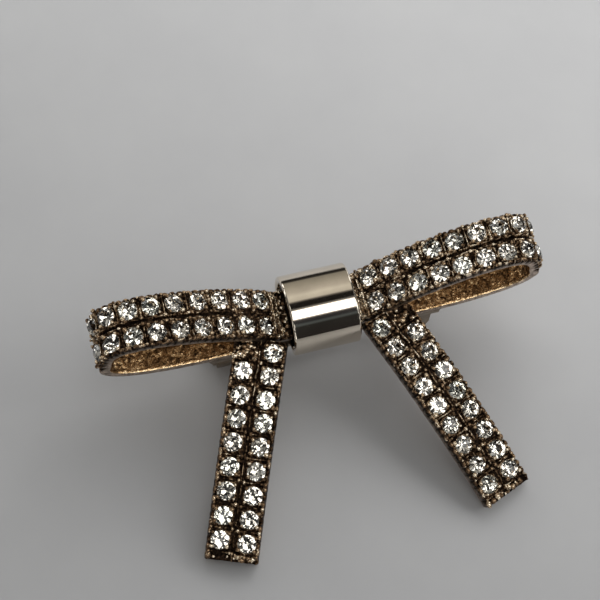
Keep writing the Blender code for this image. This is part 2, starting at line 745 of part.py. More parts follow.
def catch():
    """The fixed housing with its mouth away from the bar, and the roller that shuts it."""
    top = BAR_BACK - SOLDER_GAP
    bore = CATCH_BORE + RUNNING_GAP
    left, right = CATCH_X - CATCH_LENGTH / 2, CATCH_X + CATCH_LENGTH / 2
    gape = math.asin(MOUTH / 2 / bore)
    line = [(MOUTH / 2, -PIVOT_HEIGHT), (CATCH_FOOT, -PIVOT_HEIGHT)]
    for k in range(7):
        turn = math.radians(-25 + 75 * k / 6)
        line.append((CATCH_HALF_WIDTH * math.cos(turn), CATCH_HALF_WIDTH * math.sin(turn)))
    line.append((CATCH_NECK, top - PIVOT_HEIGHT))
    line += [(-y, z) for y, z in reversed(line)]
    for k in range(21):
        turn = -math.pi / 2 - gape - (2 * math.pi - 2 * gape) * k / 20
        line.append((bore * math.cos(turn), bore * math.sin(turn)))
    outline = [(BAR_Y + y, PIVOT_HEIGHT + z) for y, z in line]
    make("catch_housing", *prism(outline, left, right, "X"), NICKEL)

    pivot = (CATCH_X, BAR_Y, PIVOT_HEIGHT)
    inner_end = right + SIDE_GAP
    outer_end = left - SIDE_GAP
    body = make(
        "catch_roller",
        *prism(
            slotted_ring(CATCH_BORE, ROLLER_BORE, MOUTH - SLOT_STEP),
            outer_end - ROLLER_FLANGE,
            inner_end + ROLLER_FLANGE,
            "X",
        ),
        NICKEL,
        origin=pivot,
    )
    for word, low in (("inner", inner_end), ("outer", outer_end - ROLLER_FLANGE)):
        ring = make(
            f"roller_flange_{word}",
            *prism(
                slotted_ring(ROLLER_FLANGE_RADIUS, CATCH_BORE - 0.2, MOUTH - SLOT_STEP),
                low,
                low + ROLLER_FLANGE,
                "X",
            ),
        )
        boolean(body, ring, "UNION")
    half = ROLLER_TAB_WIDTH / 2
    tab = make(
        "roller_tab",
        *box(
            (
                outer_end - ROLLER_FLANGE,
                BAR_Y + ROLLER_FLANGE_RADIUS - 0.3,
                PIVOT_HEIGHT - half,
            ),
            (outer_end, BAR_Y + ROLLER_TAB_REACH, PIVOT_HEIGHT + half),
        ),
    )
    boolean(body, tab, "UNION")


def build():
    """Clears the scene and makes every piece."""
    for old in list(bpy.data.objects):
        bpy.data.objects.remove(old, do_unlink=True)
    rooms = []
    for side, word in ((-1, "left"), (1, "right")):
        room = loop(side, word)
        tail(side, word, room)
        solder_pad(side, word, room)
        rooms.append(room)
    knot()
    core(rooms)
    bar()
    hinge()
    stem()
    catch()


FOOTPRINT_SHIFT = footprint_shift()
build()
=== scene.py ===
"""Looks of a rhinestone bow brooch that lies on its pin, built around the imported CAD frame."""

import math
import random

import bmesh
import bpy
import numpy as np
from mathutils import Matrix, Vector

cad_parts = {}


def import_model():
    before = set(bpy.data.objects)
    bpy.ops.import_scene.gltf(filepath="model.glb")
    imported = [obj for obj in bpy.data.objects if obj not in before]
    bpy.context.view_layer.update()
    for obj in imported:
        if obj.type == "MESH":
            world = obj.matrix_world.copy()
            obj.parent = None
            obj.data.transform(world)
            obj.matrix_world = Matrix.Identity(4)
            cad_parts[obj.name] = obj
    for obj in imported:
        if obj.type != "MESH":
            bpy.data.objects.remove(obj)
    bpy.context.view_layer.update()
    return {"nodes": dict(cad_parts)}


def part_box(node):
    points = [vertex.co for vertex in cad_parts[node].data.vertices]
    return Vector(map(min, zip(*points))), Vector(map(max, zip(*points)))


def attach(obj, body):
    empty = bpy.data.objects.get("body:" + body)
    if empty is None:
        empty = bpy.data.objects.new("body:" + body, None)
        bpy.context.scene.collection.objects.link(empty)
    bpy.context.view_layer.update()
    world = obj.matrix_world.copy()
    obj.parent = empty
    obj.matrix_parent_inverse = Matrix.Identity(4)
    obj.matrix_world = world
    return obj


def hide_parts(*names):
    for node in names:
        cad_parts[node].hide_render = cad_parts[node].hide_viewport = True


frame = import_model()

MM = 0.001

# ---- sizes, in millimetres; the ribbons' lines repeat the CAD source's formulas ----------------
SOLDER_GAP = 0.04
STONE_RADIUS = 1.03
CELL_PITCH = 2.7
CELL_HALF_LENGTH = 1.2
CELL_HALF_WIDTH = 1.17
RIM_DROP = 0.2
LOOP_ROW_PITCH = 3.05
TAIL_ROW_PITCH = 3.01
LOOP_WIDTH = 5.9
TAIL_WIDTH = 6.05

LOOP_ROOT_OUT = 4.94
LOOP_FRONT_ROOT = 4.48
LOOP_BACK_ROOT = 1.64
LOOP_TIP_OUT = 25.96
LOOP_TIP_HEIGHT = 5.94
FRONT_START_PULL = (3.23, 3.08)
FRONT_TIP_PULL = 8.86
BACK_TIP_PULL = 7.08
BACK_ROOT_PULL = 3.55
FRONT_STRIP = 1.75
BACK_STRIP = 0.8
LOOP_RISE = 1.5            # degrees that a loop points up the picture
LOOP_LEAN = 5.0            # degrees that its front leans
LOOP_FIRST_STONE = 1.54    # distance along the line
LOOP_STONES = 9
LOOP_ROWS = (              # a row's name, its side, its first stone's place and its stones
    ("upper", 1, LOOP_FIRST_STONE, LOOP_STONES),
    ("lower", -1, LOOP_FIRST_STONE, LOOP_STONES),
)
OUTLINE_STEPS = 160        # mesh steps of the front half of a loop's line, and of the back half
LEAD_STEPS = 40            # and of the stretch that runs on into the knot
ROOT_REACH = 1.5           # how far a loop's ribbon runs on towards the knot
LEAD_DIP = 0.06            # slope at which it gets there

TAIL_X = 7.753
TAIL_Y = -3.729
TAIL_HEIGHT = 4.255
TAIL_SPLAY = 22.9          # degrees outwards from straight down
TAIL_SPLAY_LOSS = 0.064    # degrees less for each millimetre
TAIL_SLOPE = 10.06         # degrees down to the table
TAIL_SLOPE_GAIN = 0.575    # degrees more for each millimetre
TAIL_THICK = 1.95
TAIL_TOP = 1.35
TAIL_INNER_STONES = 9
TAIL_OUTER_STONES = 8
TAIL_OUTER_START = 2.54
TAIL_END_RIM = 0.95
TAIL_ROWS = (
    ("inner", -1, 0.0, TAIL_INNER_STONES),
    ("outer", 1, TAIL_OUTER_START, TAIL_OUTER_STONES),
)
TAIL_END = (TAIL_INNER_STONES - 1) * CELL_PITCH + CELL_HALF_LENGTH + TAIL_END_RIM

KNOT_Y = -0.15
KNOT_EQUATOR = 3.55
KNOT_RISE = 4.13
KNOT_WIDTH = 7.78
KNOT_HALF_DEPTH = 4.58
KNOT_WALL = 0.75
KNOT_ROUND = 2.16          # exponents of the ring's rounded top and flatter underside
KNOT_FLAT = 3.4
KNOT_EDGE = 0.24           # radius of the turned edges
KNOT_SIDES = 168
KNOT_EDGE_STEPS = 6

TOP_STEPS = 88             # mesh steps across a ribbon's set face
INNER_STEPS = 40
WALL_STEPS = 7
FINE = 0.06                # length of a mesh step along the set face
COARSE = 0.14              # and along a loop's back

# ---- looks, in millimetres; heights are about the setting line ---------------------------------
WEB_DEPTH = 0.6            # the ground between the stones
ROOT_RIMS = (0.0, -0.62)   # raised bars across a loop's ribbon beside the knot
MIDDLE_WIDTH = 0.08        # of the ridge between two rows
BAR_WIDTH = 0.09           # of the bars between two stones
COLLAR_RADIUS = 1.13       # of the worn collar round a stone
COLLAR_WIDTH = 0.08
MOUND_PLACE = (0.82, 0.86)   # of the mounds at a cell's corners, along and across
MOUND_WIDTH = 0.27
SEAT_TOP = 0.42            # depth of a stone's conical seat at the stone's edge
SEAT_SLOPE = 0.84
EDGE_CUT = 0.3             # depth of the notches along a ribbon's edges
INNER_INSET = 0.05         # of the rough inner face's edges
SOFT_EDGE = 0.05           # bevel on the CAD pieces
GEM_RADIUS = STONE_RADIUS * 1.05   # the girdle tucks under the beads that hold it
GEM_TILT = 0.085           # most tilt of a stone, as a slope
GEM_SLIP = 0.05            # most that a stone lies off its place
RING_RADIUS = 1.055        # of the thin ring that a stone sits in
RING_TUBE = 0.04
RING_DEPTH = 0.36
BEAD_PLACE = (0.74, 0.87)  # of the four beads that hold a stone, along and across
LUMPS_PER_CELL = 3
# painted light: how much brighter or darker than the rest each ribbon is painted, the right-hand
# ribbons brighter where more light falls
PAINTED_LIGHT_BY_RIBBON = {"loop_left": 0.0, "loop_right": 0.13, "tail_left": -0.03, "tail_right": 0.05}


# ---- small helpers -----------------------------------------------------------------------------


def smooth(x):
    """0 to 1, easing at both ends."""
    x = np.clip(x, 0.0, 1.0)
    return x * x * (3 - 2 * x)


def value_noise(x, y, seed):
    """Smooth noise from 0 to 1 with one cell to each unit of x and y."""
    table = np.random.default_rng(seed).random((64, 64))
    i, j = np.floor(x).astype(int), np.floor(y).astype(int)
    a, b = smooth(x - i), smooth(y - j)
    i0, i1, j0, j1 = i % 64, (i + 1) % 64, j % 64, (j + 1) % 64
    low = table[i0, j0] * (1 - a) + table[i1, j0] * a
    high = table[i0, j1] * (1 - a) + table[i1, j1] * a
    return low * (1 - b) + high * b


def bell(x, width):
    """A rounded bump of height 1 about x = 0."""
    return np.exp(-((x / width) ** 2))


def unit(v):
    """Vectors at length 1."""
    return v / np.linalg.norm(v, axis=-1, keepdims=True)


# ---- the ribbons' lines ------------------------------------------------------------------------


def bezier(a, b, c, d, steps, first):
    """Points on a cubic curve in the plane, from step number first on."""
    t = (np.arange(first, steps + 1) / steps)[:, None]
    u = 1 - t
    a, b, c, d = (np.array(p, float) for p in (a, b, c, d))
    return u**3 * a + 3 * u**2 * t * b + 3 * u * t**2 * c + t**3 * d


def loop_outline():
    """A loop's outer line seen from below: front strip, tip, back strip."""
    root = (LOOP_ROOT_OUT, LOOP_FRONT_ROOT)
    tip = (LOOP_TIP_OUT, LOOP_TIP_HEIGHT)
    end = (LOOP_ROOT_OUT, LOOP_BACK_ROOT)
    out = (root[0] + FRONT_START_PULL[0], root[1] + FRONT_START_PULL[1])
    over = (tip[0], tip[1] + FRONT_TIP_PULL)
    under = (tip[0], tip[1] - BACK_TIP_PULL)
    back = (end[0] + BACK_ROOT_PULL, end[1])
    front_line = bezier(root, out, over, tip, OUTLINE_STEPS, 0)
    back_line = bezier(tip, under, back, end, OUTLINE_STEPS, 1)
    return np.vstack([front_line, back_line])


def lead_in():
    """The cast end of a loop's ribbon, which levels out as it runs on into the knot."""
    step = ROOT_REACH / LEAD_STEPS
    slope = math.atan2(FRONT_START_PULL[1], FRONT_START_PULL[0])
    x, z = LOOP_ROOT_OUT, LOOP_FRONT_ROOT
    line = []
    for k in range(LEAD_STEPS):
        part = (k + 0.5) / LEAD_STEPS
        angle = slope * (1 - part) ** 2 + LEAD_DIP
        x -= step * math.cos(angle)
        z -= step * math.sin(angle)
        line.append((x, z))
    return line[::-1]


OUTLINE = np.vstack([lead_in(), loop_outline()])
REACH = np.concatenate([[0.0], np.cumsum(np.linalg.norm(np.diff(OUTLINE, axis=0), axis=1))])
REACH = REACH - REACH[LEAD_STEPS]   # distance along the line, 0 at the CAD ribbon's root
HEADING = unit(np.gradient(OUTLINE, axis=0))
FRONT_LENGTH = REACH[LEAD_STEPS + OUTLINE_STEPS]
LOOP_LENGTH = REACH[-1]
BACK_LOWEST = OUTLINE[:, 1].min()

knot_low, knot_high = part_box("knot_band")
_, bar_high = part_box("pin_bar")
SHIFT_Y = (knot_low.y + knot_high.y) / 2 / MM - KNOT_Y
DATUM = bar_high.z / MM + SOLDER_GAP - BACK_LOWEST


def loop_frame(side, along):
    """Points on the setting line, lateral directions and outward normals of a loop."""
    dx, dz = (np.interp(along, REACH, HEADING[:, i]) for i in (0, 1))
    x, z = (np.interp(along, REACH, OUTLINE[:, i]) for i in (0, 1))
    rise = math.radians(LOOP_RISE)
    lean = math.radians(LOOP_LEAN) * smooth((0.5 + 0.5 * dx) * 1.6)
    out = np.array([side * math.cos(rise), math.sin(rise), 0.0])
    up = np.array([0.0, 0.0, 1.0])
    across = np.stack(
        [
            -side * math.sin(rise) * np.cos(lean),
            math.cos(rise) * np.cos(lean),
            np.sin(lean),
        ],
        axis=-1,
    )
    ahead = out * dx[:, None] + up * dz[:, None]
    normal = unit(np.cross(ahead, across) * side)
    point = out * x[:, None] + up * (z[:, None] + DATUM)
    point[:, 1] += SHIFT_Y
    return point, across, normal


def tail_frame(side, along):
    """Points on the setting line, lateral (outward) directions and normals of a tail."""
    step = 0.01
    s = np.arange(-2.0, TAIL_END + 1.0, step)
    splay = np.radians(TAIL_SPLAY - TAIL_SPLAY_LOSS * s)
    slope = np.radians(TAIL_SLOPE + TAIL_SLOPE_GAIN * s)
    ahead = np.stack(
        [
            side * np.sin(splay) * np.cos(slope),
            -np.cos(splay) * np.cos(slope),
            -np.sin(slope),
        ],
        axis=-1,
    )
    middle = (ahead[1:] + ahead[:-1]) / 2 * step
    line = np.concatenate([np.zeros((1, 3)), np.cumsum(middle, axis=0)])
    zero = np.array([np.interp(0.0, s, line[:, i]) for i in range(3)])
    start = np.array([side * TAIL_X, TAIL_Y + SHIFT_Y, TAIL_HEIGHT + DATUM])
    line = line - zero + start
    across = np.stack([side * np.cos(splay), np.sin(splay), np.zeros_like(s)], axis=-1)
    normal = unit(np.cross(across, ahead) * -side)
    return tuple(
        np.stack([np.interp(along, s, field[:, i]) for i in range(3)], axis=-1)
        for field in (line, across, normal)
    )


# ---- materials ---------------------------------------------------------------------------------


def node(tree, kind, **settings):
    """A shader node with its settings and its unlinked inputs."""
    made = tree.nodes.new("ShaderNode" + kind)
    for key, value in settings.items():
        if hasattr(made, key):
            setattr(made, key, value)
        else:
            made.inputs[key.replace("_", " ")].default_value = value
    return made


def new_material(name, **shader):
    """A material, its node tree and its Principled shader."""
    made = bpy.data.materials.new(name)
    made.use_nodes = True
    principled = made.node_tree.nodes["Principled BSDF"]
    for key, value in shader.items():
        principled.inputs[key.replace("_", " ")].default_value = value
    return made, made.node_tree, principled


def ramp(tree, fac, stops, interpolation="LINEAR"):
    """A colour ramp's output."""
    made = node(tree, "ValToRGB")
    made.color_ramp.interpolation = interpolation
    while len(made.color_ramp.elements) < len(stops):
        made.color_ramp.elements.new(0.5)
    for element, (place, colour) in zip(made.color_ramp.elements, stops):
        element.position = place
        element.color = (*colour, 1.0)
    tree.links.new(fac, made.inputs["Fac"])
    return made.outputs["Color"]


def noise(tree, where, scale, detail, rough):
    """A noise texture's value."""
    made = node(tree, "TexNoise", Scale=scale, Detail=detail, Roughness=rough)
    tree.links.new(where, made.inputs["Vector"])
    return made.outputs["Fac"]


def maths(tree, operation, a, b):
    """One sum on two values or sockets."""
    made = node(tree, "Math", operation=operation)
    for socket, value in zip(made.inputs, (a, b)):
        if isinstance(value, (int, float)):
            socket.default_value = value
        else:
            tree.links.new(value, socket)
    return made.outputs[0]


def bump(tree, height, strength, distance):
    """A bump node's normal."""
    made = node(tree, "Bump", Strength=strength, Distance=distance)
    tree.links.new(height, made.inputs["Height"])
    return made.outputs["Normal"]


def window(tree, value, low, high, soft):
    """1 where a value lies between two limits, with soft ends."""
    rise = node(tree, "MapRange", interpolation_type="SMOOTHSTEP")
    rise.inputs["From Min"].default_value = low - soft
    rise.inputs["From Max"].default_value = low + soft
    tree.links.new(value, rise.inputs["Value"])
    fall = node(tree, "MapRange", interpolation_type="SMOOTHSTEP")
    fall.inputs["From Min"].default_value = high + soft
    fall.inputs["From Max"].default_value = high - soft
    tree.links.new(value, fall.inputs["Value"])
    return maths(tree, "MULTIPLY", rise.outputs[0], fall.outputs[0])


def object_place(tree):
    """The socket with a point's place in its object."""
    return node(tree, "TexCoord").outputs["Object"]


def swing(tree, value, middle, amount):
    """A noise value's swing about its middle, times an amount."""
    return maths(tree, "MULTIPLY", maths(tree, "SUBTRACT", value, middle), amount)


def cast_gold(name, stops, rough, grain):
    """Antique gold casting: dark in its recesses, rubbed bright on its high places, with painted
    glints.
    """
    made, tree, shader = new_material(name, Metallic=0.92)
    where = object_place(tree)
    wear = node(tree, "Attribute", attribute_name="wear").outputs["Fac"]
    patch = noise(tree, where, 900.0, 4.0, 0.6)
    # fine specks: partly the casting's own uneven tone, partly painted glints that make the
    # surface sparkle
    speck_and_painted_glint = noise(tree, where, 5200.0, 2.0, 0.5)
    mixed = maths(tree, "ADD", wear, swing(tree, patch, 0.5, 0.6))
    mixed = maths(tree, "ADD", mixed, swing(tree, speck_and_painted_glint, 0.46, 1.0))
    tree.links.new(ramp(tree, mixed, stops), shader.inputs["Base Color"])
    dull, bright = rough
    rubbed = ramp(tree, mixed, [(0.15, (dull,) * 3), (0.85, (bright,) * 3)])
    tree.links.new(rubbed, shader.inputs["Roughness"])
    pits = noise(tree, where, 3600.0, 4.0, 0.65)
    tree.links.new(bump(tree, pits, grain, 0.00005), shader.inputs["Normal"])
    return made


# colours from the recesses to the rubbed places
GOLD_STOPS = [
    (0.06, (0.014, 0.008, 0.005)),
    (0.30, (0.085, 0.048, 0.026)),
    (0.54, (0.27, 0.170, 0.095)),
    (0.76, (0.56, 0.41, 0.26)),
    (1.00, (0.98, 0.84, 0.64)),
]
WALL_STOPS = [
    (0.1, (0.02, 0.013, 0.008)),
    (0.4, (0.10, 0.077, 0.058)),
    (0.7, (0.30, 0.225, 0.175)),
    (1.0, (0.66, 0.53, 0.43)),
]
INNER_STOPS = [
    (0.24, (0.016, 0.008, 0.004)),
    (0.46, (0.13, 0.070, 0.030)),
    (0.66, (0.46, 0.275, 0.125)),
    (0.92, (1.00, 0.76, 0.46)),
]


def polished(name, colour, scratch, rough):
    """Polished plate with hairline scratches that run round the piece."""
    made, tree, shader = new_material(name, Metallic=1.0)
    where = object_place(tree)
    spread = node(tree, "Mapping")
    spread.inputs["Scale"].default_value = scratch
    tree.links.new(where, spread.inputs["Vector"])
    hair = noise(tree, spread.outputs["Vector"], 1.0, 5.0, 0.6)
    cloud = noise(tree, where, 420.0, 3.0, 0.5)
    darker = tuple(c * 0.88 for c in colour)
    tint = ramp(tree, cloud, [(0.3, darker), (0.7, colour)])
    tree.links.new(tint, shader.inputs["Base Color"])
    level = ramp(tree, hair, [(0.35, (rough[0],) * 3), (0.75, (rough[1],) * 3)])
    tree.links.new(level, shader.inputs["Roughness"])
    tree.links.new(bump(tree, hair, 0.06, 0.00001), shader.inputs["Normal"])
    return made


def stone_glass():
    """Clear cut glass with a trace of tint that differs from stone to stone."""
    made, tree, shader = new_material(
        "stone_glass", Metallic=0.0, IOR=1.56, Transmission_Weight=1.0
    )
    own = node(tree, "ObjectInfo").outputs["Random"]
    tint = ramp(
        tree,
        own,
        [(0.0, (1.0, 0.985, 0.96)), (0.5, (1.0, 1.0, 0.985)), (1.0, (0.96, 1.0, 0.975))],
    )
    tree.links.new(tint, shader.inputs["Base Color"])
    haze = noise(tree, object_place(tree), 700.0, 2.0, 0.5)
    worn = ramp(tree, haze, [(0.55, (0.0,) * 3), (0.9, (0.03,) * 3)])
    tree.links.new(worn, shader.inputs["Roughness"])
    return made


def stone_foil():
    """The silvered back of a stone, cloudy in places."""
    made, tree, shader = new_material("stone_foil", Metallic=1.0)
    cloud = noise(tree, object_place(tree), 1500.0, 3.0, 0.6)
    silver = ramp(tree, cloud, [(0.3, (0.72, 0.69, 0.65)), (0.62, (0.96, 0.94, 0.90))])
    tree.links.new(silver, shader.inputs["Base Color"])
    dull = ramp(tree, cloud, [(0.3, (0.06,) * 3), (0.5, (0.015,) * 3)])
    tree.links.new(dull, shader.inputs["Roughness"])
    return made


MATERIALS = {
    "set_face": cast_gold("antique_gold_set_face", GOLD_STOPS, (0.5, 0.26), 0.35),
    "wall": cast_gold("antique_gold_wall", WALL_STOPS, (0.45, 0.28), 0.12),
    "inner": cast_gold("antique_gold_inner", INNER_STOPS, (0.4, 0.16), 1.0),
    "bead": cast_gold("antique_gold_beads", GOLD_STOPS, (0.4, 0.2), 0.15),
    "knot": polished(
        "champagne_polish", (0.82, 0.735, 0.62), (300.0, 9000.0, 9000.0), (0.05, 0.10)
    ),
    "bar": polished("nickel_bar", (0.42, 0.35, 0.28), (300.0, 5000.0, 5000.0), (0.3, 0.5)),
    "nickel": polished("nickel", (0.36, 0.29, 0.22), (3000.0, 600.0, 3000.0), (0.28, 0.45)),
    "steel": polished("steel_wire", (0.70, 0.70, 0.71), (200.0, 7000.0, 7000.0), (0.14, 0.3)),
    "solder": polished("grey_solder", (0.42, 0.40, 0.37), (900.0, 900.0, 900.0), (0.35, 0.6)),
    "glass": stone_glass(),
    "foil": stone_foil(),
}


# ---- meshes ------------------------------------------------------------------------------------


def piece(name, points, faces, materials, slots=None):
    """A piece of the brooch from points in millimetres; nothing reaches below the table."""
    mesh = bpy.data.meshes.new(name)
    points = np.array(points)
    points[:, 2] = np.maximum(points[:, 2], 0.0)
    mesh.from_pydata((points * MM).tolist(), [], faces)
    for material in materials:
        mesh.materials.append(MATERIALS[material])
    if slots is not None:
        mesh.polygons.foreach_set("material_index", np.asarray(slots, np.int32))
    mesh.polygons.foreach_set("use_smooth", [True] * len(mesh.polygons))
    mesh.update()
    made = bpy.data.objects.new(name, mesh)
    bpy.context.scene.collection.objects.link(made)
    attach(made, "brooch")
    return made


def give_wear(made, values):
    """Stores how rubbed each point is, from 0 in a recess to 1 on a high place; on the ribbons it
    also holds painted light.
    """
    attribute = made.data.attributes.new("wear", "FLOAT", "POINT")
    attribute.data.foreach_set("value", np.asarray(values, np.float32))


def scallop(along, first, seed):
    """Bumps along an edge, three to a cell, with sharp notches between them."""
    x = (along - first) / (CELL_PITCH / LUMPS_PER_CELL)
    k = np.floor(x + 0.5)
    size = 0.75 + 0.5 * value_noise(k * 0.73, np.zeros_like(k), seed)
    part = (x - k) * 2
    return 1 - (1 - np.sqrt(np.clip(1 - part * part * 0.97, 0, 1))) * size


def cell_relief(along, width, rows, edge, ridge):
    """Height of the set face about the setting line, and how rubbed it is.

    The two rows of a tail have a broken ridge between them. Those of a loop have a groove with
    lips, and a ridge only beside the knot.
    """
    # each noise pattern has its size in millimetres and its seed
    rough = value_noise(along / 0.55, width / 0.55, 5)
    broken = smooth(1.6 * value_noise(along / 0.62, width / 0.62, 6) - 0.3)
    lump = value_noise(along / 0.34, width / 0.34, 9)
    sway = 0.16 * (value_noise(along / 0.7, width / 0.7, 7) - 0.5)
    sway_across = 0.16 * (value_noise(along / 0.7, width / 0.7, 8) - 0.5)
    middle = bell(width + sway_across, MIDDLE_WIDTH)
    far = smooth((along - 3.0) / 5.0)
    raised = (0.1 + 0.22 * lump) * bell(np.abs(width) - (edge - 0.18), 0.17)
    if ridge:
        high = 0.4 * smooth((9.0 - along) / 5.0) + 0.18
        raised = np.maximum(raised, (0.1 + high * broken) * middle)
    else:
        near = 0.4 * (1 - far) * broken * middle
        lips = (0.06 + 0.3 * broken * far) * bell(np.abs(width + 0.5 * sway_across) - 0.25, 0.1)
        raised = np.maximum(raised, np.maximum(near, lips))
        for place in ROOT_RIMS:
            crossbar = (0.2 + 0.3 * lump) * bell(along - place + sway, 0.16)
            raised = np.maximum(raised, crossbar)
    seat = np.full(along.shape, np.inf)
    for sign, offset, first, count in rows:
        here = width * sign >= 0
        k = np.clip(np.round((along - first) / CELL_PITCH), 0, count - 1)
        u = along - (first + k * CELL_PITCH)
        v = width - offset
        bar = (0.1 + 0.34 * broken) * bell(np.abs(u) - CELL_PITCH / 2 + sway, BAR_WIDTH)
        bar = np.where(np.abs(v) < CELL_HALF_WIDTH + 0.2, bar, 0.0)
        own = value_noise(k * 1.7 + np.sign(u) * 0.4, np.sign(v) * 0.7 + sign * 3.1, 10)
        corner = np.hypot(np.abs(u) - MOUND_PLACE[0], np.abs(v) - MOUND_PLACE[1])
        mound = (0.2 + 0.26 * own) * bell(corner, MOUND_WIDTH)
        radius = np.hypot(u, v)
        collar = (0.05 + 0.2 * lump) * bell(radius - COLLAR_RADIUS, COLLAR_WIDTH)
        local = np.maximum(np.maximum(bar, mound), collar)
        raised = np.where(here, np.maximum(raised, local), raised)
        cone = -SEAT_TOP - SEAT_SLOPE * (STONE_RADIUS - radius)
        seat = np.where(here & (radius < STONE_RADIUS + 0.03), cone, seat)
    web = -WEB_DEPTH + 0.26 * (lump - 0.5) + 0.1 * (rough - 0.5)
    if not ridge:
        web = web - 0.16 * bell(width, 0.13) * far
    grain = value_noise(along / 0.15, width / 0.15, 3) - 0.5
    height = np.minimum(web + raised + 0.13 * grain, -RIM_DROP + 0.06)
    wear = -0.06 + 1.85 * raised + grain * (raised > 0.04) + 0.5 * (lump - 0.5)
    if not ridge:
        wear = wear + 0.3 * smooth(0.5 - along)
    rim = smooth((np.abs(width) - (edge - 0.16)) / 0.16)
    height = height - 0.12 * rim * rim
    return np.minimum(height, seat), np.clip(wear, 0.0, 1.1)


def ribbon(name, frame_of, side, stations, width, rows, depths, scallops, ridge, fade):
    """A cast ribbon as one closed skin: set face, two walls and a rough inner face.

    fade gives 0 where the face is set with stones and 1 where the ribbon is plain.
    """
    half = width / 2
    n = len(stations)
    point, across, normal = frame_of(side, stations)
    top, bottom = depths(stations)
    change = fade(stations)
    cells = 1 - change[:, None]
    bumps = {sign: scallop(stations, first, seed) for sign, first, seed in scallops}
    w = np.linspace(-1, 1, TOP_STEPS + 1)
    s_grid = np.repeat(stations[:, None], TOP_STEPS + 1, axis=1)
    w_grid = np.repeat(w[None, :] * half, n, axis=0)
    relief, wear = cell_relief(s_grid, w_grid, rows, half, ridge)
    # painted light: each ribbon's rubbed places are painted brighter or darker by its own amount
    wear = wear + PAINTED_LIGHT_BY_RIBBON[name.removeprefix("ribbon_")] * 2 * smooth(wear / 0.45)
    reach = np.where(w[None, :] > 0, bumps[1][:, None], bumps[-1][:, None])
    shrink = smooth((np.abs(w_grid) - (half - 0.9)) / 0.9)
    lateral_top = w_grid - np.sign(w_grid) * EDGE_CUT * (1 - reach) * shrink * cells
    flat_top = 0.02 * (value_noise(s_grid / 0.5, w_grid / 0.5, 8) - 0.5)
    z_top = -top[:, None] + (relief + RIM_DROP) * cells + flat_top * change[:, None]
    z_top += -0.06 * change[:, None] * smooth((np.abs(w_grid) - (half - 0.15)) / 0.15)
    wear = wear * cells + 0.6 * change[:, None]

    def wall(sign):
        """Lateral places, heights and wear of one side wall, without its edges."""
        down = np.linspace(0, 1, WALL_STEPS + 2)[1:-1]
        start = z_top[:, -1] if sign > 0 else z_top[:, 0]
        z = start[:, None] + (-bottom - start)[:, None] * down[None, :]
        notch = EDGE_CUT * (1 - bumps[sign])[:, None] * cells
        lateral = sign * (half - notch * (1 - smooth(down / 0.55))[None, :])
        lateral = lateral - sign * 0.05 * smooth((down - 0.8) / 0.2)[None, :]
        s_wall = np.repeat(stations[:, None], len(down), axis=1)
        uneven = value_noise(s_wall / 0.6, z / 0.6, 11 + sign)
        dark = 0.3 + 1.1 * (1 - bumps[sign][:, None])
        rubbed = 0.72 - dark * (1 - smooth(down / 0.75))[None, :] * cells
        rubbed = rubbed + 0.3 * (uneven - 0.5)
        return lateral + 0.03 * (uneven - 0.5), z, rubbed

    back_w = np.linspace(1, -1, INNER_STEPS + 1)
    s_back = np.repeat(stations[:, None], INNER_STEPS + 1, axis=1)
    w_back = np.repeat(back_w[None, :] * (half - INNER_INSET), n, axis=0)
    large = value_noise(s_back / 0.3, w_back / 0.3, 21)
    small = value_noise(s_back / 0.16, w_back / 0.16, 22)
    lumps = large * 0.6 + small * 0.4
    inside = smooth((half - INNER_INSET - np.abs(w_back)) / 0.3)
    z_back = -bottom[:, None] + (lumps - 0.5) * 0.2 * inside
    z_back += INNER_INSET * (1 - inside)
    rub_back = 0.15 + 0.8 * lumps + 0.3 * (1 - inside)

    lat_r, z_r, rub_r = wall(1)
    lat_l, z_l, rub_l = wall(-1)
    lateral = np.concatenate([lateral_top, lat_r, w_back, lat_l[:, ::-1]], axis=1)
    height = np.concatenate([z_top, z_r, z_back, z_l[:, ::-1]], axis=1)
    rubbed = np.concatenate([wear, rub_r, rub_back, rub_l[:, ::-1]], axis=1)
    m = lateral.shape[1]
    points = (
        point[:, None, :]
        + across[:, None, :] * lateral[..., None]
        + normal[:, None, :] * height[..., None]
    ).reshape(-1, 3)
    i = np.arange(n - 1)[:, None] * m
    k = np.arange(m)[None, :]
    nxt = (k + 1) % m
    quads = np.stack([i + k, i + nxt, i + m + nxt, i + m + k], axis=-1).reshape(-1, 4)
    if side < 0:
        quads = quads[:, ::-1]
    set_face, side_wall, inner_face = 0, 1, 2
    kind = np.full(m, side_wall)
    kind[:TOP_STEPS] = set_face
    inner_start = TOP_STEPS + WALL_STEPS + 1
    kind[inner_start : inner_start + INNER_STEPS] = inner_face
    slots = np.tile(kind, n - 1).tolist() + [set_face, set_face]
    first = list(range(m))
    last = list(range((n - 1) * m, n * m))
    caps = [first[::-1], last] if side > 0 else [first, last[::-1]]
    faces = quads.tolist() + caps
    made = piece(name, points, faces, ("set_face", "wall", "inner"), slots)
    give_wear(made, rubbed.ravel())
    return made


def icosphere():
    """Points and triangles of a unit sphere."""
    work = bmesh.new()
    bmesh.ops.create_icosphere(work, subdivisions=2, radius=1.0)
    points = np.array([v.co[:] for v in work.verts])
    faces = np.array([[v.index for v in f.verts] for f in work.faces])
    work.free()
    return points, faces


SPHERE_POINTS, SPHERE_FACES = icosphere()


def beads(name, places):
    """Many small beads in one piece. A place is (centre, across, ahead, normal, sizes, wear)."""
    points, faces, wear = [], [], []
    u, v, w = (SPHERE_POINTS[:, i : i + 1] for i in range(3))
    for centre, x, y, z, (a, b, c), rub in places:
        faces.append(SPHERE_FACES + len(SPHERE_POINTS) * len(points))
        points.append(u * a * x + v * b * y + w * c * z + centre)
        wear.append(rub + 0.35 * SPHERE_POINTS[:, 2])
    faces = np.concatenate(faces)
    made = piece(name, np.concatenate(points), faces.tolist(), ("bead",))
    give_wear(made, np.concatenate(wear))
    return made


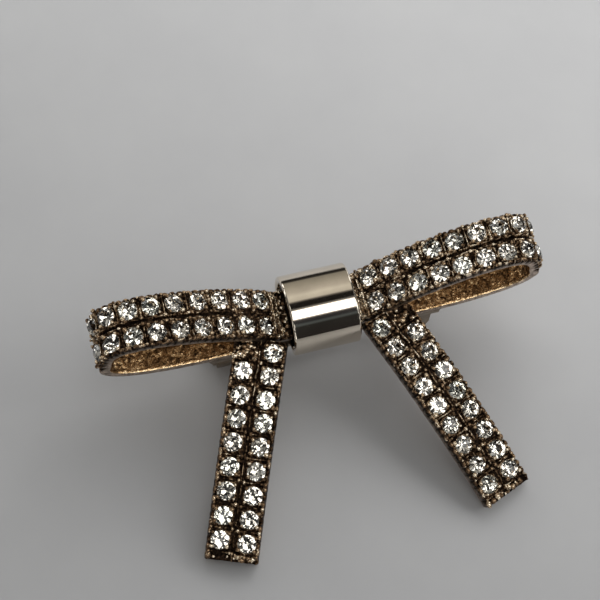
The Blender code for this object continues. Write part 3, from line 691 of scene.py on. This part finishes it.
def ring_band(centre, x, y, z):
    """Points and quads of a thin ring round a stone."""
    steps, around = 28, 6
    a = np.arange(steps) * 2 * math.pi / steps
    b = np.arange(around) * 2 * math.pi / around
    r = RING_RADIUS + RING_TUBE * np.cos(b)[None, :]
    h = RING_TUBE * np.sin(b)[None, :] * 1.3 + np.zeros((steps, 1))
    points = (
        centre
        + x * (r * np.cos(a)[:, None])[..., None]
        + y * (r * np.sin(a)[:, None])[..., None]
        + z * h[..., None]
    ).reshape(-1, 3)
    i = np.arange(steps)[:, None]
    k = np.arange(around)[None, :]
    next_i, next_k = (i + 1) % steps, (k + 1) % around
    corners = [i * around + k, next_i * around + k, next_i * around + next_k, i * around + next_k]
    return points, np.stack(corners, axis=-1).reshape(-1, 4)


def seats(name, places):
    """The thin rubbed rings in which a ribbon's stones sit, in one piece."""
    points, faces, wear = [], [], []
    total = 0
    for centre, x, y, z, rub in places:
        more, quads = ring_band(centre, x, y, z)
        points.append(more)
        faces.append(quads + total)
        total += len(more)
        wear.append(np.full(len(more), rub))
    made = piece(name, np.concatenate(points), np.concatenate(faces).tolist(), ("bead",))
    give_wear(made, np.concatenate(wear))
    return made


def brilliant():
    """Points, crown faces and foiled faces of a round machine-cut stone about its own axis."""
    table_radius, table_height = 0.55, 0.09
    girdle_high, girdle_low = -0.30, -0.345
    star_radius = 0.77
    culet = -1.2
    eighth = math.pi / 4
    reach = star_radius * math.cos(eighth / 2)
    part = (girdle_high - table_height) * (reach - table_radius) / (GEM_RADIUS - table_radius)
    star_height = table_height + part

    def ring(radius, height, count, turn):
        """Corners of a regular polygon."""
        step = 2 * math.pi / count
        return [
            (radius * math.cos(k * step + turn), radius * math.sin(k * step + turn), height)
            for k in range(count)
        ]

    points = (
        ring(table_radius, table_height, 8, 0.0)
        + ring(star_radius, star_height, 8, eighth / 2)
        + ring(GEM_RADIUS, girdle_high, 16, 0.0)
        + ring(GEM_RADIUS, girdle_low, 8, 0.0)
        + [(0.0, 0.0, culet)]
    )
    table, star, upper, lower, tip = 0, 8, 16, 32, 40
    crown = [tuple(range(8))]
    back = []
    for k in range(8):
        n = (k + 1) % 8
        p = (k - 1) % 8
        main, mid, after = 2 * k, 2 * k + 1, (2 * k + 2) % 16
        crown.append((table + k, star + k, table + n))
        crown.append((table + k, star + p, upper + main, star + k))
        crown.append((star + k, upper + main, upper + mid))
        crown.append((star + k, upper + mid, upper + after))
        back.append((tip, lower + n, lower + k))
        back.append((upper + main, lower + k, upper + mid))
        back.append((upper + mid, lower + k, lower + n))
        back.append((upper + mid, lower + n, upper + after))
    return points, crown, back


def outward(points, faces):
    """The faces turned so that each looks away from the stone's middle."""
    points = np.array(points)
    middle = np.array([0.0, 0.0, -0.4])
    turned = []
    for face in faces:
        corner = points[list(face)]
        facing = np.cross(corner[1] - corner[0], corner[2] - corner[0])
        turned.append(face if facing @ (corner.mean(0) - middle) > 0 else face[::-1])
    return turned


def stone_mesh():
    """The mesh that all the stones share."""
    points, crown, back = brilliant()
    mesh = bpy.data.meshes.new("cut_stone")
    faces = outward(points, crown + back)
    mesh.from_pydata([tuple(c * MM for c in p) for p in points], [], faces)
    mesh.materials.append(MATERIALS["glass"])
    mesh.materials.append(MATERIALS["foil"])
    mesh.polygons.foreach_set("material_index", [0] * len(crown) + [1] * len(back))
    mesh.polygons.foreach_set("use_smooth", [False] * len(faces))
    mesh.update()
    return mesh


STONE = stone_mesh()


def set_row(name, node_name, frame_of, side, offset, first, count, rng):
    """The stones of one row, their seats and the beads that hold them."""
    along = first + np.arange(count) * CELL_PITCH
    point, across, normal = frame_of(side, along)
    grip, rings = [], []
    for k in range(count):
        x, z = across[k], normal[k]
        y = np.cross(z, x)
        middle = point[k] + x * offset
        tilt = [rng.uniform(-GEM_TILT, GEM_TILT) for _ in range(2)]
        axis = unit(z + x * tilt[0] + y * tilt[1])
        side_axis = unit(x - axis * (x @ axis))
        other = np.cross(axis, side_axis)
        turn = rng.uniform(0, 2 * math.pi)
        u = side_axis * math.cos(turn) + other * math.sin(turn)
        v = np.cross(axis, u)
        slip = x * rng.uniform(-GEM_SLIP, GEM_SLIP) + y * rng.uniform(-GEM_SLIP, GEM_SLIP)
        where = middle + slip
        gem = bpy.data.objects.new(f"{name}_{k + 1}", STONE)
        gem.matrix_world = Matrix(
            (
                (u[0], v[0], axis[0], where[0] * MM),
                (u[1], v[1], axis[1], where[1] * MM),
                (u[2], v[2], axis[2], where[2] * MM),
                (0.0, 0.0, 0.0, 1.0),
            )
        )
        bpy.context.scene.collection.objects.link(gem)
        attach(gem, "brooch")
        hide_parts(node_name)
        rings.append((where - axis * RING_DEPTH, u, v, axis, rng.uniform(0.35, 0.95)))
        corners = [(i * BEAD_PLACE[0], j * BEAD_PLACE[1]) for i in (-1, 1) for j in (-1, 1)]
        for along_y, along_x in corners:
            spot = middle + y * (along_y + rng.uniform(-0.06, 0.06))
            spot = spot + x * (along_x + rng.uniform(-0.05, 0.05))
            size = rng.uniform(0.15, 0.29)
            spot = spot + z * (0.02 - size + rng.uniform(-0.06, 0.02))
            shape = (size * rng.uniform(0.85, 1.2), size * rng.uniform(0.85, 1.2), size)
            grip.append((spot, x, y, z, shape, rng.uniform(0.1, 0.75)))
        for sign in (-1, 1):
            spot = middle + y * (CELL_PITCH / 2) + x * sign * (CELL_HALF_WIDTH + 0.02)
            size = rng.uniform(0.13, 0.25)
            spot = spot + z * (-0.1 - size + rng.uniform(-0.04, 0.03))
            grip.append((spot, x, y, z, (size, size * 1.2, size), rng.uniform(0.05, 0.65)))
    return grip, rings


def scattered(frame_of, side, along, width, depth, sizes, count, rng, wear):
    """Random cast lumps over a stretch of a ribbon."""
    made = []
    for _ in range(count):
        s = np.array([rng.uniform(*along)])
        point, across, normal = frame_of(side, s)
        x, z = across[0], normal[0]
        size = rng.uniform(*sizes)
        spot = point[0] + x * rng.uniform(*width) + z * (rng.uniform(*depth) - size)
        shape = (size * rng.uniform(0.8, 1.5), size * rng.uniform(0.8, 1.5), size)
        made.append((spot, x, np.cross(z, x), z, shape, rng.uniform(*wear)))
    return made


def edge_lumps(frame_of, side, first, count, half, sign, rng):
    """The row of cast lumps along an edge, three to a cell."""
    along = first + (np.arange(count * LUMPS_PER_CELL) - 1.0) * CELL_PITCH / LUMPS_PER_CELL
    point, across, normal = frame_of(side, along)
    made = []
    for p, x, z in zip(point, across, normal):
        size = rng.uniform(0.17, 0.28)
        y = np.cross(z, x)
        spot = p + x * sign * (half - size * 1.2) - z * (size + rng.uniform(0.15, 0.3))
        spot = spot + y * rng.uniform(-0.09, 0.09)
        shape = (size * rng.uniform(0.8, 1.1), size * rng.uniform(1.2, 1.8), size)
        made.append((spot, x, y, z, shape, rng.uniform(-0.15, 0.4)))
    return made


def trim(kind, word, frame_of, side, rows, pitch, width):
    """Sets a ribbon's stones, and gives the beads and rings round them and the random source."""
    grip, rings = [], []
    for row, sign, first, count in rows:
        rng = random.Random(f"{kind} {word} {row}")
        name = f"{kind}_{word}_{row}"
        offset = sign * pitch / 2
        more = set_row(
            f"stone_{name}", f"stones_{name}", frame_of, side, offset, first, count, rng
        )
        grip += more[0]
        rings += more[1]
    rng = random.Random(f"{kind} {word}")
    for _, sign, first, count in rows:
        grip += edge_lumps(frame_of, side, first, count, width / 2, sign, rng)
    return grip, rings, rng


def loop_depths(along):
    """Depths of a loop's outer and inner face below the setting line."""
    change = smooth((along - FRONT_LENGTH + 0.3) / 4.2)
    bottom = FRONT_STRIP + (BACK_STRIP - FRONT_STRIP) * change + 0.4 * np.minimum(along, 0)
    return RIM_DROP * (1 - change), bottom


def loop_fade(along):
    """0 on a loop's set front, 1 on its plain back."""
    return smooth((along - FRONT_LENGTH - 0.2) / 1.2)


def loop(side, word):
    """A ribbon loop with its stones."""
    turn = FRONT_LENGTH + 0.9
    front = np.linspace(-ROOT_REACH, turn, int((turn + ROOT_REACH) / FINE) + 1)
    back = np.linspace(turn, LOOP_LENGTH, int((LOOP_LENGTH - turn) / COARSE) + 1)[1:]
    stations = np.concatenate([front, back])
    rows = [(sign, sign * LOOP_ROW_PITCH / 2, first, count) for _, sign, first, count in LOOP_ROWS]
    scallops = [(1, LOOP_FIRST_STONE, 31), (-1, LOOP_FIRST_STONE + 0.3, 32)]
    body = ribbon(
        f"ribbon_loop_{word}",
        loop_frame,
        side,
        stations,
        LOOP_WIDTH,
        rows,
        loop_depths,
        scallops,
        False,
        loop_fade,
    )
    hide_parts(f"loop_{word}")
    grip, rings, rng = trim("loop", word, loop_frame, side, LOOP_ROWS, LOOP_ROW_PITCH, LOOP_WIDTH)
    root, across = (-1.3, 0.2), (-2.7, 2.7)
    grip += scattered(
        loop_frame, side, root, across, (-0.2, 0.0), (0.12, 0.3), 34, rng, (0.2, 0.9)
    )
    beads(f"beads_loop_{word}", grip)
    seats(f"seats_loop_{word}", rings)


def tail_depths(along):
    """Depths of a tail's outer and inner face below the setting line."""
    return np.full(along.shape, RIM_DROP), np.full(along.shape, TAIL_THICK)


def tail(side, word):
    """A ribbon tail with its stones."""
    length = TAIL_END + TAIL_TOP
    stations = np.linspace(-TAIL_TOP, TAIL_END, int(length / FINE) + 1)
    rows = [(sign, sign * TAIL_ROW_PITCH / 2, first, count) for _, sign, first, count in TAIL_ROWS]
    scallops = [(1, TAIL_OUTER_START, 33), (-1, 0.0, 34)]
    body = ribbon(
        f"ribbon_tail_{word}",
        tail_frame,
        side,
        stations,
        TAIL_WIDTH,
        rows,
        tail_depths,
        scallops,
        True,
        np.zeros_like,
    )
    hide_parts(f"tail_{word}")
    grip, rings, rng = trim("tail", word, tail_frame, side, TAIL_ROWS, TAIL_ROW_PITCH, TAIL_WIDTH)
    root, across = (-1.2, 1.2), (0.2, 2.8)
    grip += scattered(
        tail_frame, side, root, across, (-0.35, -0.1), (0.12, 0.34), 30, rng, (0.05, 0.8)
    )
    end, across = (TAIL_END - 0.65, TAIL_END - 0.2), (-2.8, 2.8)
    grip += scattered(
        tail_frame, side, end, across, (-0.4, -0.12), (0.12, 0.3), 22, rng, (0.05, 0.8)
    )
    beads(f"beads_tail_{word}", grip)
    seats(f"seats_tail_{word}", rings)


def knot():
    """The polished band: a rolled ring with softly turned edges."""
    sides = KNOT_SIDES
    turn = 2 * math.pi * (np.arange(sides) + 0.5) / sides
    c, s = np.cos(turn), np.sin(turn)
    power = np.where(s > 0, 2 / KNOT_ROUND, 2 / KNOT_FLAT)
    drop = KNOT_EQUATOR - BACK_LOWEST

    def line(inset):
        """Places and heights of a ring at a depth inside the band's outer face."""
        y = KNOT_Y + np.copysign(np.abs(c) ** power, c) * (KNOT_HALF_DEPTH - inset)
        rise = np.where(s > 0, KNOT_RISE, drop) - inset
        z = KNOT_EQUATOR + np.copysign(np.abs(s) ** power, s) * rise
        return y + SHIFT_Y, z + DATUM

    half = KNOT_WIDTH / 2
    edge = KNOT_EDGE
    profile = []
    for k in range(KNOT_EDGE_STEPS, -1, -1):
        a = math.pi / 2 * k / KNOT_EDGE_STEPS
        profile.append((-half + edge * (1 - math.sin(a)), edge * (1 - math.cos(a))))
    outer = profile + [(-x, inset) for x, inset in reversed(profile)]
    inner_edge = [(half - 0.06, KNOT_WALL - 0.06), (half - 0.2, KNOT_WALL)]
    section = outer + inner_edge + [(-x, inset) for x, inset in reversed(inner_edge)]
    points = []
    for x, inset in section:
        y, z = line(inset)
        points.append(np.stack([np.full(sides, x), y, z], axis=-1))
    n = len(section)
    points = np.concatenate(points)
    i = np.arange(n)[:, None]
    k = np.arange(sides)[None, :]
    next_i, next_k = (i + 1) % n, (k + 1) % sides
    corners = [i * sides + k, i * sides + next_k, next_i * sides + next_k, next_i * sides + k]
    quads = np.stack(corners, axis=-1).reshape(-1, 4)
    made = piece("knot", points, quads.tolist(), ("knot",))
    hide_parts("knot_band")


for side, word in ((-1, "left"), (1, "right")):
    loop(side, word)
    tail(side, word)
knot()


# ---- pieces carried over from the CAD frame ----------------------------------------------------

FINISHES = {               # a node's material here and its material class, which nothing here reads
    "pin_bar": ("bar", "nickel"),
    "centre_core": ("inner", "antique_gold"),
    "solder_left": ("solder", "solder"),
    "solder_right": ("solder", "solder"),
    "hinge_bracket": ("nickel", "nickel"),
    "hinge_rivet": ("steel", "steel"),
    "catch_housing": ("nickel", "nickel"),
    "catch_roller": ("nickel", "nickel"),
    "pin_stem": ("steel", "steel"),
}

for name, (finish, slot) in FINISHES.items():
    carried = frame["nodes"][name]
    carried.data.materials.clear()
    carried.data.materials.append(MATERIALS[finish])
    softened = carried.modifiers.new("softened edges", "BEVEL")
    softened.width = SOFT_EDGE * MM
    softened.segments = 2
    softened.limit_method = "ANGLE"
    softened.angle_limit = math.radians(35)


# ---- floor, light and camera -------------------------------------------------------------------

CAMERA_AZIMUTH = math.radians(-23.84)
CAMERA_ELEVATION = math.radians(66.95)
CAMERA_ROLL = math.radians(9.24)
CAMERA_DISTANCE = 213.66   # in millimetres
CAMERA_LENS = 111.23
AIM = (-0.00843, 0.0107)   # of the optical axis, off the bow's middle, in tangents
TABLE_HALF = 3.0           # in metres
TABLE_DROP = 0.00002       # keeps the table's face clear of the faces that lie on it
WORLD_LEVEL = 0.25         # of the surroundings' light on rough surfaces
KEY_PLACE = (0.066, 0.061, 0.075)
KEY_SIZE = (0.36, 0.07)
KEY_ENERGY = 0.19


def camera():
    """The camera at the photograph's viewing angle."""
    a, e, r = CAMERA_AZIMUTH, CAMERA_ELEVATION, CAMERA_ROLL
    back = Vector((math.sin(a) * math.cos(e), -math.cos(a) * math.cos(e), math.sin(e)))
    right = Vector((math.cos(a), math.sin(a), 0.0))
    up = back.cross(right)
    level = right * math.cos(r) + up * math.sin(r)
    tall = up * math.cos(r) - right * math.sin(r)
    place = (Vector((0.0, SHIFT_Y, DATUM)) + back * CAMERA_DISTANCE) * MM
    look = (-back + level * AIM[0] + tall * AIM[1]).normalized()
    x = look.cross(tall).normalized()
    y = x.cross(look)
    data = bpy.data.cameras.new("camera")
    data.lens = CAMERA_LENS
    data.sensor_width = 36.0
    data.clip_start = 0.01
    data.clip_end = 10.0
    made = bpy.data.objects.new("camera", data)
    made.matrix_world = Matrix(
        (
            (x.x, y.x, -look.x, place.x),
            (x.y, y.y, -look.y, place.y),
            (x.z, y.z, -look.z, place.z),
            (0.0, 0.0, 0.0, 1.0),
        )
    )
    bpy.context.scene.collection.objects.link(made)
    bpy.context.scene.camera = made


def floor():
    """A plain pale table top."""
    mesh = bpy.data.meshes.new("table")
    r = TABLE_HALF
    mesh.from_pydata([(-r, -r, 0), (r, -r, 0), (r, r, 0), (-r, r, 0)], [], [(0, 1, 2, 3)])
    made = bpy.data.objects.new("table", mesh)
    bpy.context.scene.collection.objects.link(made)
    paint, tree, shader = new_material("pale_table", Metallic=0.0)
    shader.inputs["Specular IOR Level"].default_value = 0.2
    shader.inputs["Roughness"].default_value = 0.6
    cloud = noise(tree, object_place(tree), 60.0, 4.0, 0.6)
    tone = ramp(tree, cloud, [(0.3, (0.50, 0.50, 0.503)), (0.7, (0.53, 0.53, 0.53))])
    tree.links.new(tone, shader.inputs["Base Color"])
    mesh.materials.append(paint)
    made.location = (0.0, 0.0, -TABLE_DROP)


def world():
    """Soft studio surroundings.

    Rough surfaces get an even light. The knot mirrors bands that run over the bow from back to
    front. The stones and the rest mirror a patchwork of lights and darks. The camera sees grey.
    """
    made = bpy.data.worlds.new("studio")
    bpy.context.scene.world = made
    made.use_nodes = True
    tree = made.node_tree
    tree.nodes.clear()
    towards = node(tree, "TexCoord").outputs["Generated"]
    parts = node(tree, "SeparateXYZ")
    tree.links.new(towards, parts.inputs[0])
    x, y, z = parts.outputs
    # 0 at the horizon behind the bow, 0.5 overhead, 1 at the horizon before it
    turn = maths(tree, "ARCTAN2", maths(tree, "MULTIPLY", y, -1.0), z)
    sweep = maths(tree, "ADD", maths(tree, "DIVIDE", turn, math.pi), 0.5)
    room = ramp(
        tree,
        sweep,
        [
            (0.000, (0.020, 0.019, 0.018)),
            (0.065, (0.030, 0.028, 0.026)),
            (0.092, (0.26, 0.245, 0.21)),
            (0.195, (0.38, 0.36, 0.31)),
            (0.295, (0.54, 0.51, 0.45)),
            (0.340, (0.72, 0.69, 0.61)),
            (0.385, (0.62, 0.59, 0.52)),
            (0.402, (0.12, 0.11, 0.10)),
            (0.412, (0.014, 0.013, 0.012)),
            (0.468, (0.010, 0.009, 0.008)),
            (0.482, (0.10, 0.095, 0.09)),
            (0.500, (0.34, 0.33, 0.32)),
            (0.516, (3.4, 3.4, 3.35)),
            (0.622, (3.4, 3.4, 3.35)),
            (0.638, (0.6, 0.58, 0.56)),
            (0.655, (0.05, 0.048, 0.05)),
            (0.700, (0.025, 0.026, 0.03)),
            (0.740, (0.085, 0.10, 0.105)),
            (0.775, (0.025, 0.025, 0.024)),
            (1.000, (0.022, 0.02, 0.02)),
        ],
    )
    panes = node(tree, "TexVoronoi", feature="F1", Scale=4.6, Randomness=1.0)
    tree.links.new(towards, panes.inputs["Vector"])
    shade = node(tree, "SeparateXYZ")
    tree.links.new(panes.outputs["Color"], shade.inputs[0])
    patchwork = ramp(
        tree,
        shade.outputs[0],
        [
            (0.00, (0.015, 0.015, 0.015)),
            (0.34, (0.07, 0.07, 0.07)),
            (0.50, (0.28, 0.275, 0.26)),
            (0.68, (0.75, 0.74, 0.71)),
            (0.84, (2.6, 2.6, 2.55)),
        ],
        "CONSTANT",
    )
    blend = node(tree, "Mix", data_type="RGBA", blend_type="MIX")
    knot_sees = window(tree, x, -0.06, 0.38, 0.04)
    colour_a, colour_b, colour_out = 6, 7, 2   # the Mix node's colour sockets
    tree.links.new(knot_sees, blend.inputs["Factor"])
    tree.links.new(patchwork, blend.inputs[colour_a])
    tree.links.new(room, blend.inputs[colour_b])
    path = node(tree, "LightPath")
    mirrored = node(tree, "Background", Strength=1.0)
    tree.links.new(blend.outputs[colour_out], mirrored.inputs["Color"])
    plain = node(tree, "Background", Color=(0.62, 0.62, 0.625, 1.0), Strength=WORLD_LEVEL)
    seen = node(tree, "Background", Color=(0.5, 0.5, 0.505, 1.0), Strength=1.0)
    pick = node(tree, "MixShader")
    tree.links.new(path.outputs["Is Diffuse Ray"], pick.inputs[0])
    tree.links.new(mirrored.outputs[0], pick.inputs[1])
    tree.links.new(plain.outputs[0], pick.inputs[2])
    last = node(tree, "MixShader")
    tree.links.new(path.outputs["Is Camera Ray"], last.inputs[0])
    tree.links.new(pick.outputs[0], last.inputs[1])
    tree.links.new(seen.outputs[0], last.inputs[2])
    end = tree.nodes.new("ShaderNodeOutputWorld")
    tree.links.new(last.outputs[0], end.inputs["Surface"])


def softbox():
    """A long soft box that faces the bow and lights the table less with distance."""
    data = bpy.data.lights.new("key", "AREA")
    data.shape = "RECTANGLE"
    data.size, data.size_y = KEY_SIZE
    data.energy = KEY_ENERGY
    made = bpy.data.objects.new("key", data)
    place = Vector(KEY_PLACE)
    made.location = place
    made.rotation_mode = "QUATERNION"
    made.rotation_quaternion = (-place).to_track_quat("-Z", "Y")
    made.visible_camera = False
    made.visible_glossy = False
    made.visible_transmission = False
    bpy.context.scene.collection.objects.link(made)


floor()
world()
softbox()
camera()
bpy.context.scene.view_settings.view_transform = "Standard"
